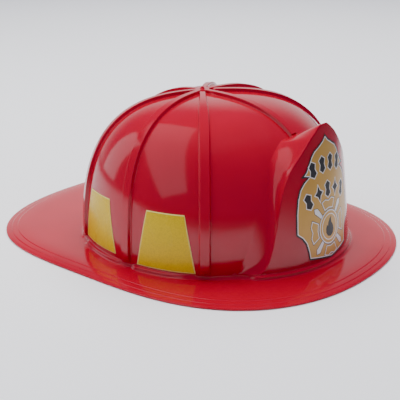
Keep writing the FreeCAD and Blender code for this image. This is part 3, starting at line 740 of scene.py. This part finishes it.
def wall_y(x, z):
    """How far out the middle of the shell's wall is at x, on the left side."""
    turn = np.linspace(math.radians(20), math.radians(160), 281)
    wall = dome_at(turn, np.full_like(turn, z))
    return float(np.interp(-x, -wall[:, 0], wall[:, 1])) - WALL / 2


def block_between(name, side, corner_at):
    """A block whose corners are given for the signs of a cube's corners, on one side of the helmet."""
    mesh = bmesh.new()
    bmesh.ops.create_cube(mesh, size=2)
    for v in mesh.verts:
        v.co = Vector(corner_at(*v.co))
    made = in_scene(name, bpy.data.meshes.new(name))
    mesh.to_mesh(made.data)
    mesh.free()
    made.data.transform(((MM, 0, 0, 0), (0, side * MM, 0, 0), (0, 0, MM, 0), (0, 0, 0, 1)))
    if side < 0:
        made.data.flip_normals()
    return made


def socket(name, x, side):
    """A moulded socket on the shell's inner wall: three walls, a roof, and a slot open below."""
    def outside(a, b, c):
        corner_x, corner_z = x + SOCKET_HALF * a, SOCKET_HIGH if c > 0 else SOCKET_LOW
        return corner_x, wall_y(corner_x, corner_z) if b > 0 else SOCKET_NEAR, corner_z

    def slot(a, b, c):
        return x + SLOT_HALF * a, SLOT_FAR if b > 0 else SLOT_NEAR, SLOT_HIGH if c > 0 else SLOT_LOW

    block = block_between(name, side, outside)
    cutter = block_between(name + "_cutter", side, slot)
    boolean = block.modifiers.new("slot", "BOOLEAN")
    boolean.object = cutter
    boolean.solver = "EXACT"
    rounding = block.modifiers.new("rounding", "BEVEL")
    rounding.width = 0.45 * MM
    rounding.segments = 3
    applied(block)
    bpy.data.objects.remove(cutter)
    block.data.materials.clear()
    block.data.materials.append(RED)
    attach(block, "shell")


def applied(made):
    """Turns an object's modifiers into its mesh."""
    graph = bpy.context.evaluated_depsgraph_get()
    graph.update()
    mesh = bpy.data.meshes.new_from_object(made.evaluated_get(graph))
    made.modifiers.clear()
    made.data = mesh


for side_name, side_sign in (("left", 1), ("right", -1)):
    for end_name, hanger_x in HANGER_X.items():
        socket(f"socket_{end_name}_{side_name}", hanger_x, side_sign)


# ------ the badge

# Half the badge's outline from its peak to its foot, and the marks printed on it, all as (Y, Z).
BADGE_HALF = ((0, 118.5), (4.5, 114), (10.5, 110.5), (17, 107), (21, 102.5), (24.5, 96), (27.5, 91),
              (32.5, 86.5), (25.5, 85.5), (30.5, 82.5), (35, 77), (38, 69), (40, 56), (41, 38), (35.5, 33.5),
              (31.8, 28), (30, 21), (29, 13.5), (0, 8.7))


def both_halves(half):
    return list(half) + [(-y, z) for y, z in reversed(half) if y]


def divided(outline, length, like=None):
    """A closed outline with points no further apart than length, or divided as another one would be."""
    made = []
    like = like or outline
    for n in range(len(outline)):
        after = (n + 1) % len(outline)
        count = max(1, math.ceil(math.dist(like[n], like[after]) / length))
        (a, b), (c, d) = outline[n], outline[after]
        made += [(a + (c - a) * k / count, b + (d - b) * k / count) for k in range(count)]
    return made


def inset(outline, distance):
    """A closed outline moved inwards, its corners mitred."""
    points = np.array(outline, float)
    before, after = np.roll(points, 1, 0), np.roll(points, -1, 0)
    first, second = unit(points - before), unit(after - points)
    area = 0.5 * np.sum(points[:, 0] * after[:, 1] - after[:, 0] * points[:, 1])
    turn = 1 if area > 0 else -1
    normal_a = turn * np.stack([-first[:, 1], first[:, 0]], 1)
    normal_b = turn * np.stack([-second[:, 1], second[:, 0]], 1)
    middle = normal_a + normal_b
    middle /= np.maximum((1 + np.sum(normal_a * normal_b, 1))[:, None], 0.35)
    return [tuple(p) for p in points + distance * middle]


class Print:
    """Flat print of one colour laid on the plate, built up from patches and strips."""

    def __init__(self, lift, thick):
        self.lift, self.thick = lift, thick
        self.points, self.faces = [], []

    def add(self, flat, faces, borders):
        start = len(self.points)
        flat = np.array(flat)
        count = len(flat)
        self.points += list(plate_point(flat[:, 0], flat[:, 1], self.lift + self.thick))
        self.points += list(plate_point(flat[:, 0], flat[:, 1], self.lift))
        for face in faces:
            ring = [flat[v] for v in face]
            area = sum(a[0] * b[1] - b[0] * a[1] for a, b in zip(ring, ring[1:] + ring[:1]))
            face = list(face) if area > 0 else list(face)[::-1]
            self.faces.append([v + start for v in face])
            self.faces.append([v + start + count for v in face[::-1]])
        for border in borders:
            for n in range(len(border)):
                a, b = border[n - 1] + start, border[n] + start
                self.faces.append([a, b, b + count, a + count])

    def patch(self, outline, length=2.0):
        """A filled outline."""
        edge = divided(outline, length)
        low, high = np.min(edge, 0), np.max(edge, 0)
        inside = [(y, z) for y in np.arange(low[0] + length / 2, high[0], length)
                  for z in np.arange(low[1] + length / 2, high[1], length)]
        points = [Vector(p) for p in edge + inside]
        loop = [(n, (n + 1) % len(edge)) for n in range(len(edge))]
        whole = [list(range(len(edge)))]
        flat, _, faces, sources, _, _ = geometry.delaunay_2d_cdt(points, loop, whole, 1, 1e-5)
        border = [next(n for n, s in enumerate(sources) if k in s) for k in range(len(edge))]
        self.add([tuple(p) for p in flat], faces, [border])

    def strip(self, outline, outer, inner, length=2.0):
        """A line that follows an outline, between two distances inside it."""
        a, b = (divided(inset(outline, distance), length, outline) for distance in (outer, inner))
        count = len(a)
        faces = [[n, (n + 1) % count, count + (n + 1) % count, count + n] for n in range(count)]
        self.add(a + b, faces, [list(range(count)), list(range(count, 2 * count))[::-1]])

    def make(self, name, material):
        made = new_object(name, np.array(self.points), self.faces, [material], smooth=False)
        repair_normals(made)
        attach(made, "shell")
        return made


def ring_outline(radius, count=48):
    """A circle round the emblem's middle."""
    turns = [FULL_TURN * k / count for k in range(count)]
    return [(radius * math.cos(turn), EMBLEM_Z + radius * math.sin(turn)) for turn in turns]


def placed(shape, y, z, turn=0.0, size=1.0):
    c, s = math.cos(turn) * size, math.sin(turn) * size
    return [(y + a * c - b * s, z + a * s + b * c) for a, b in shape]


FILM, DARK_INK, WHITE_INK = 0.26, 0.03, 0.05
MARKS_A, MARKS_B, EMBLEM_Z = (93.5, 70), (70.5, 60), 36.5
RING, INNER_RING = 15.0, 11.6
LOZENGE = ((0, 7.2), (3.9, 4.2), (2.4, 0), (3.9, -4.2), (0, -7.2), (-3.9, -4.2), (-2.4, 0), (-3.9, 4.2))
SPARK = ((0, 7.2), (1.7, 2.4), (5.0, 0), (1.7, -2.4), (0, -7.2), (-1.7, -2.4), (-5.0, 0), (-1.7, 2.4))
FLAME = ((0, -9), (4.2, -7.4), (6.2, -3.6), (5.4, 0.4), (3.2, 3.4), (2.6, 6.2), (3.2, 9.2), (0.2, 7.4),
         (-2.2, 4.2), (-3.0, 1.2), (-4.4, 2.8), (-6.0, -0.6), (-6.2, -4.2), (-4.0, -7.6))
PETAL = ((-6.5, 15.6), (-10.5, 23.5), (-5, 25.5), (0, 24.0), (5, 25.5), (10.5, 23.5), (6.5, 15.6), (0, 16.8))
RAY = ((-1.5, 15.6), (-2.6, 25.5), (0, 28.5), (2.6, 25.5), (1.5, 15.6))


def arched(y, arch):
    """Height of a row of marks that arches, given its crest and its radius."""
    crest, radius = arch
    return crest + math.sqrt(radius ** 2 - y * y) - radius


def make_badge():
    """The gold film, and dark and white print in two rows of marks over a round emblem."""
    outline = both_halves(BADGE_HALF)
    lift = STICKER_GAP + 0.02
    gold = Print(lift, FILM)
    gold.patch(inset(outline, 0.2))
    badge = gold.make("badge_skin", GOLD)
    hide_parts("badge_sticker")
    dark, white = Print(lift + FILM, DARK_INK), Print(lift + FILM, WHITE_INK)
    dark.strip(outline, -0.1, 1.25)
    white.strip(outline, 1.25, 2.05)
    marks = [(y, arched(y, MARKS_A), LOZENGE) for y in (-19.2, -6.4, 6.4, 19.2)]
    marks += [(y, arched(y, MARKS_B), shape) for y, shape in
              ((-26, LOZENGE), (-13, SPARK), (0, LOZENGE), (13, SPARK), (26, LOZENGE))]
    for y, z, shape in marks:
        turned = placed(shape, y, z, -y / 90)
        white.strip(turned, -0.9, -0.15, 1.5)
        dark.patch(turned, 1.5)
    white.strip(ring_outline(RING), -0.1, 0.9)
    dark.strip(ring_outline(RING), -0.6, -0.12)
    white.strip(ring_outline(INNER_RING), -0.1, 0.6)
    for k in range(4):
        petal = placed(PETAL, 0, EMBLEM_Z, math.radians(90 * k))
        white.strip(petal, 0.0, 0.8, 1.5)
        dark.strip(petal, -0.5, 0.0, 1.5)
        ray = placed(RAY, 0, EMBLEM_Z, math.radians(90 * k + 45))
        white.patch(ray, 1.5)
        dark.strip(ray, -0.5, 0.0, 1.5)
    dark.patch(placed(FLAME, 0, EMBLEM_Z, 0, 0.98), 1.5)
    dark.make("badge_dark_print", DARK)
    white.make("badge_white_print", WHITE)


make_badge()


# ------ the side stickers

STICKER_TOP, STICKER_FOOT_SPAN, STICKER_TOP_SPAN = 60.0, 25.8, 16.7
# The pale edge's share of the film; then each sticker's middle, in degrees from the front, and its lower edge.
STICKER_EDGE = 0.018
STICKERS = {"mid": (71.5, 9.2), "rear": (109.3, 12.0)}


def side_sticker(name, middle, low, sign):
    """A trapezoid film on the dome, with a pale edge all round."""
    share_v = np.concatenate([[0, STICKER_EDGE], np.linspace(0.05, 0.95, 30), [1 - STICKER_EDGE, 1]])
    share_u = np.concatenate([[0, STICKER_EDGE], np.linspace(0.04, 0.96, 34), [1 - STICKER_EDGE, 1]])
    v, u = np.meshgrid(share_v, share_u, indexing="ij")
    z = low + v * (STICKER_TOP - low)
    span = np.radians(STICKER_FOOT_SPAN * (1 - v) + STICKER_TOP_SPAN * v)
    turn = np.radians(middle) + span * (u - 0.5)
    skin = dome_at(turn, z)
    normal = unit(np.cross(dome_at(turn + 0.001, z) - skin, dome_at(turn, z + 0.05) - skin))
    rows, columns = u.shape
    near, far = skin + normal * STICKER_GAP, skin + normal * (STICKER_GAP + STICKER_THICK)
    points = np.concatenate([far.reshape(-1, 3), near.reshape(-1, 3)])
    points[:, 1] *= sign
    i, j = np.meshgrid(np.arange(rows - 1), np.arange(columns - 1), indexing="ij")
    at_edge = ((i == 0) | (i == rows - 2) | (j == 0) | (j == columns - 2)).reshape(-1)
    faces = sheet_faces(rows, columns)[:, ::sign]
    indices = np.zeros(len(faces))
    indices[:len(at_edge)] = at_edge
    indices[2 * len(at_edge):] = 1
    made = new_object(name + "_film", points, faces.tolist(), [YELLOW, YELLOW_EDGE], True, indices)
    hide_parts(name)
    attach(made, "shell")


for place_name, (angle, foot) in STICKERS.items():
    side_sticker(f"side_sticker_{place_name}_left", angle, foot, 1)
    side_sticker(f"side_sticker_{place_name}_right", angle, foot, -1)


# ------ the harness

STRAP_X = 16.0
TAB_Y, TAB_X, TAB_REACH = 79.5, 28.0, 85.59
STRAP_FOOT, STRAP_SPRING, STRAP_RISE, STRAP_LIFT = 45.0, 57.0, 50.0, 4.0
STRAP_WIDE, STRAP_THICK, STRAP_ROUNDING = 18.0, 1.2, 0.35
ARCH_POINTS, LEG_POINTS = 120, 8
STITCH_LEVELS, STITCHES, STITCH_GAP = (47.2, 55.4), 9, 1.85
# A stitch's rings, as distance along it and radius.
STITCH, STITCH_SIDES = ((-0.62, 0.12), (-0.45, 0.26), (0, 0.32), (0.45, 0.26), (0.62, 0.12)), 6


def strap_line(rise):
    """The middle line of a crown strap from one end to the other, as distance along and height."""
    reach = TAB_REACH + STRAP_THICK / 2
    top = rise + STRAP_THICK / 2
    turn = np.linspace(0, math.pi, ARCH_POINTS)
    arch = np.stack([reach * np.cos(turn), STRAP_SPRING + top * np.sin(turn)], 1)
    legs = np.linspace(STRAP_FOOT, STRAP_SPRING, LEG_POINTS + 1)[:-1]
    first = np.stack([np.full(LEG_POINTS, reach), legs], 1)
    return np.concatenate([first, arch, first[::-1] * (-1, 1)])


def strap_section():
    """A strap's cross-section, its corners rounded."""
    half_y, half_z = STRAP_WIDE / 2 - STRAP_ROUNDING, STRAP_THICK / 2 - STRAP_ROUNDING
    made = []
    for side_y, side_z, start in ((1, 1, 0), (-1, 1, 90), (-1, -1, 180), (1, -1, 270)):
        for k in range(4):
            angle = math.radians(start + 30 * k)
            made.append((side_y * half_y + STRAP_ROUNDING * math.cos(angle),
                         side_z * half_z + STRAP_ROUNDING * math.sin(angle)))
    return made


def crown_strap(name, front_side, lift):
    """A webbing strap over the head, selvedged and sewn at its ends."""
    line = strap_line(STRAP_RISE + lift)
    heading = math.atan2(front_side * TAB_Y, TAB_X)
    along = unit(np.gradient(line, axis=0))
    outward = np.stack([along[:, 1], -along[:, 0]], 1)
    ring = strap_section()
    travelled = np.concatenate([[0], np.cumsum(np.linalg.norm(np.diff(line, axis=0), axis=1))])
    points, uvs = [], []
    for n, (r, z) in enumerate(line):
        for a, b in ring:
            flat_r, flat_z = r + outward[n, 0] * b, z + outward[n, 1] * b
            points.append((STRAP_X + flat_r * math.cos(heading) - a * math.sin(heading),
                           flat_r * math.sin(heading) + a * math.cos(heading), flat_z))
            uvs.append((a * MM, travelled[n] * MM))
    made = new_object(name + "_web", points, tube_faces(len(line), len(ring)), [WEB])
    repair_normals(made)
    layer = made.data.uv_layers.new(name="along")
    for loop in made.data.loops:
        layer.data[loop.index].uv = uvs[loop.vertex_index]
    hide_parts(name)
    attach(made, "shell")
    stitches(name + "_stitches", heading)


def stitches(name, heading):
    """Rows of short raised threads across both ends of a strap, on its inner and outer faces."""
    points, faces = [], []
    for end in (1, -1):
        for level in STITCH_LEVELS:
            for k in range(STITCHES):
                a = (k - STITCHES // 2) * STITCH_GAP
                for face in (1, -1):
                    r = end * (TAB_REACH + STRAP_THICK / 2 + face * STRAP_THICK / 2)
                    thread(points, faces, r, a, level, heading)
    made = new_object(name, points, faces, [WEB])
    repair_normals(made)
    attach(made, "shell")


def thread(points, faces, r, a, level, heading):
    """One stitch: a short rounded bar that lies across the strap."""
    start = len(points)
    across = np.array((-math.sin(heading), math.cos(heading), 0))
    out = np.array((math.cos(heading), math.sin(heading), 0))
    middle = np.array((STRAP_X, 0, level)) + out * r + across * a
    for share, radius in STITCH:
        for k in range(STITCH_SIDES):
            angle = FULL_TURN * k / STITCH_SIDES
            points.append(middle + across * share + out * radius * math.cos(angle)
                          + np.array((0, 0, radius * math.sin(angle))))
    faces += tube_faces(len(STITCH), STITCH_SIDES, start)


crown_strap("crown_strap_lower", 1, 0.0)
crown_strap("crown_strap_upper", -1, STRAP_LIFT)

BAND_X, BAND_FRONT, BAND_HALF = 52.0, 62.0, 77.0
PAD_LOW, PAD_HIGH, PAD_HALF, PAD_GAP, PAD_HEM = 13.0, 37.0, 66.0, 0.3, 0.7
PAD_COLUMNS, PAD_ROWS, PAD_CHANNELS = 133, 25, 6
# The pad's length and height between its hems, and how far from a seam its foam is full.
PAD_LONG, PAD_TALL, PAD_FULL = 160, 23, 3.5
PAD_THIN, PAD_CROWN = 0.9, 1.1
PRESSURE, MOST_SWELLING, CLOTH_FRAMES = 4.0, 1.6, 20


def pad_face(turn, z, depth):
    """A point on the brow pad, so deep inside the headband."""
    forward, across = BAND_FRONT - PAD_GAP - depth, BAND_HALF - PAD_GAP - depth
    return np.stack([BAND_X + forward * np.cos(turn), across * np.sin(turn), z], -1)


def brow_pad():
    """The foam pad: a fabric cover sewn to a back sheet in channels and swelled by its foam."""
    end = math.asin((PAD_HALF - 1.0) / (BAND_HALF - 2.0))
    levels = np.linspace(PAD_LOW + PAD_HEM, PAD_HIGH - PAD_HEM, PAD_ROWS)
    turn, z = np.meshgrid(np.linspace(-end, end, PAD_COLUMNS), levels)
    u, v = np.meshgrid(np.linspace(0, 1, PAD_COLUMNS), np.linspace(0, 1, PAD_ROWS))
    from_edge = np.minimum(np.minimum(u, 1 - u) * PAD_LONG, np.minimum(v, 1 - v) * PAD_TALL)
    channel = np.abs((u * PAD_CHANNELS) % 1 - 0.5) * 2
    to_seam = (1 - channel) * PAD_LONG / (2 * PAD_CHANNELS)
    crown = np.clip(from_edge / PAD_FULL, 0, 1) ** 0.5 * np.clip(to_seam / PAD_FULL + 0.25, 0, 1) ** 0.5
    front = pad_face(turn, z, PAD_THIN + PAD_CROWN * crown).reshape(-1, 3)
    back = pad_face(turn, z, 0.25 + 0.5 * (from_edge < 0.5)).reshape(-1, 3)
    faces = sheet_faces(PAD_ROWS, PAD_COLUMNS)[:, ::-1].tolist()
    made = new_object("brow_pad_foam", np.concatenate([front, back]), faces, [FOAM])
    repair_normals(made)
    held = np.concatenate([((from_edge < 0.6) | (to_seam < 0.7)).reshape(-1), np.ones(len(back), bool)])
    swell(made, held)
    smoother = made.modifiers.new("smooth", "SUBSURF")
    smoother.levels = smoother.render_levels = 1
    applied(made)
    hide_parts("brow_pad")
    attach(made, "shell")


def swell(made, held):
    """Swells a closed cover as cloth, its held points pinned, and caps how far any point may go."""
    group = made.vertex_groups.new(name="held")
    group.add([int(n) for n in np.flatnonzero(held)], 1.0, "REPLACE")
    rest = np.array([v.co for v in made.data.vertices])
    cloth = made.modifiers.new("swelling", "CLOTH")
    settings = cloth.settings
    settings.vertex_group_mass = "held"
    settings.use_pressure = True
    settings.uniform_pressure_force = PRESSURE
    settings.effector_weights.gravity = 0
    settings.mass = 0.05
    settings.tension_stiffness = settings.compression_stiffness = 12
    settings.bending_stiffness = 0.3
    cloth.collision_settings.use_collision = False
    cloth.point_cache.frame_start, cloth.point_cache.frame_end = 1, CLOTH_FRAMES
    for step in range(1, CLOTH_FRAMES + 1):
        bpy.context.scene.frame_set(step)
    applied(made)
    bpy.context.scene.frame_set(1)
    moved = np.array([v.co for v in made.data.vertices])
    travel = moved - rest
    size = np.linalg.norm(travel, axis=1, keepdims=True) / MM
    share = MOST_SWELLING * np.tanh(size / MOST_SWELLING) / np.maximum(size, 1e-9)
    capped = rest + travel * share
    made.data.vertices.foreach_set("co", capped.astype(np.float32).reshape(-1))
    made.data.update()


brow_pad()


def finished_node(name, material, rounding):
    """A CAD piece keeps its shape and takes a material and slightly eased edges."""
    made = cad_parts[name]
    made.data.materials.clear()
    made.data.materials.append(material)
    made.modifiers.new("weld", "WELD").merge_threshold = 0.004 * MM
    eased = made.modifiers.new("eased", "BEVEL")
    eased.width = rounding * MM
    eased.segments = 2
    eased.limit_method = "ANGLE"
    eased.angle_limit = math.radians(40)


for piece in ("headband", "nape_strap"):
    finished_node(piece, BLACK_BAND, 0.2)
for end_name in ("front", "rear"):
    for side_name in ("left", "right"):
        finished_node(f"hanger_{end_name}_{side_name}", BLACK_HANGER, 0.3)
        finished_node(f"band_stud_{end_name}_{side_name}", BLACK_STUD, 0.25)
for piece in ("size_peg_left", "size_peg_right", "crown_button", "crown_button_cap"):
    finished_node(piece, BLACK_STUD, 0.3)


# ------ the studio

# The floor stays pale up to a distance in each of two directions, and then darkens with painted shade over
# FLOOR_FADE metres.
FLOOR_HALF, FLOOR_DROP = 40000.0, 0.2
FLOOR_ENDS = (((0.63, -0.777, 0), 0.31), ((0.928, 0.444, 0), 0.27))
FLOOR_FADE, PALE, FLOOR_PAINTED_SHADE = 0.22, (0.98, 0.98, 0.98), (0.16, 0.16, 0.18)
BACKDROP_WAY, BACKDROP_FADE = (-0.63, 0.777, -0.6), (0.35, 0.8)
DIM_ROOM, BACKDROP = (0.12, 0.13, 0.24), (1.0, 1.0, 1.0)
LIT_POINT = Vector((0, 0, 0.07))
BEARING, RISE, DISTANCE = math.radians(50.97), math.radians(19.73), 0.849
AIM, LENS, SENSOR = Vector((-0.00075, 0, 0.0279)), 78.12, 36


def along_way(tree, output, direction):
    """How far a place is in a direction."""
    made = tree.nodes.new("ShaderNodeVectorMath")
    made.operation = "DOT_PRODUCT"
    made.inputs[1].default_value = direction
    tree.links.new(tree.nodes.new("ShaderNodeTexCoord").outputs[output], made.inputs[0])
    return made.outputs["Value"]


def arithmetic(tree, operation, *values):
    made = tree.nodes.new("ShaderNodeMath")
    made.operation = operation
    for target, value in zip(made.inputs, values):
        if isinstance(value, float):
            target.default_value = value
        else:
            tree.links.new(value, target)
    return made.outputs["Value"]


def studio_floor():
    """A pale floor with painted shade: its colour darkens out to the front and to the left, where only
    reflections would see it.
    """
    made, tree, surface = node_material("floor_with_painted_shade")
    past = [arithmetic(tree, "SUBTRACT", along_way(tree, "Object", way), start) for way, start in FLOOR_ENDS]
    # Painted shade: the floor's colour goes from pale to the dim tint past its pale area.
    shade = ramp_between(tree, arithmetic(tree, "MAXIMUM", *past), PALE, FLOOR_PAINTED_SHADE, 0.0, FLOOR_FADE)
    feed(tree, surface, Base_Color=shade, Roughness=0.7)
    corners = [(x * FLOOR_HALF, y * FLOOR_HALF, -FLOOR_DROP) for x, y in ((-1, -1), (1, -1), (1, 1), (-1, 1))]
    floor = new_object("floor", corners, [[0, 1, 2, 3]], [made])


def area_light(name, place, along, wide, high, power):
    """A soft box that faces the helmet, its height running along a direction."""
    data = bpy.data.lights.new(name, "AREA")
    data.shape = "RECTANGLE"
    data.size, data.size_y, data.energy = wide, high, power
    made = in_scene(name, data)
    back = (Vector(place) - LIT_POINT).normalized()
    up = Vector(along) - back * back.dot(Vector(along))
    up.normalize()
    turn = Matrix((up.cross(back), up, back)).transposed()
    made.matrix_world = Matrix.Translation(place) @ turn.to_4x4()
    return made


def world_light():
    """A white backdrop behind the helmet and a dim, cool room on the camera's side."""
    world = bpy.data.worlds.new("white_studio")
    bpy.context.scene.world = world
    world.use_nodes = True
    tree = world.node_tree
    facing = along_way(tree, "Generated", BACKDROP_WAY)
    shade = ramp_between(tree, facing, DIM_ROOM, BACKDROP, *BACKDROP_FADE)
    shade.node.color_ramp.interpolation = "EASE"
    feed(tree, tree.nodes["Background"], Color=shade)


def camera():
    level = math.cos(RISE)
    back = Vector((level * math.cos(BEARING), -level * math.sin(BEARING), math.sin(RISE)))
    data = bpy.data.cameras.new("camera")
    data.lens, data.sensor_width = LENS, SENSOR
    data.clip_start, data.clip_end = 0.05, 50
    made = in_scene("camera", data)
    made.location = AIM + DISTANCE * back
    made.rotation_euler = back.to_track_quat("Z", "Y").to_euler()
    bpy.context.scene.camera = made


studio_floor()
world_light()
area_light("window_left", (-0.246, -0.586, 0.84), (-0.358, 0.791, 0.49), 0.62, 2.0, 4.2)
area_light("window_far_left", (-1.02, -0.45, 0.52), (0, 0, 1), 0.5, 0.9, 2.6)
overhead = area_light("overhead", (-0.35, 0.45, 2.2), (0, 1, 0), 2.6, 2.6, 112)
overhead.visible_glossy = False
camera()
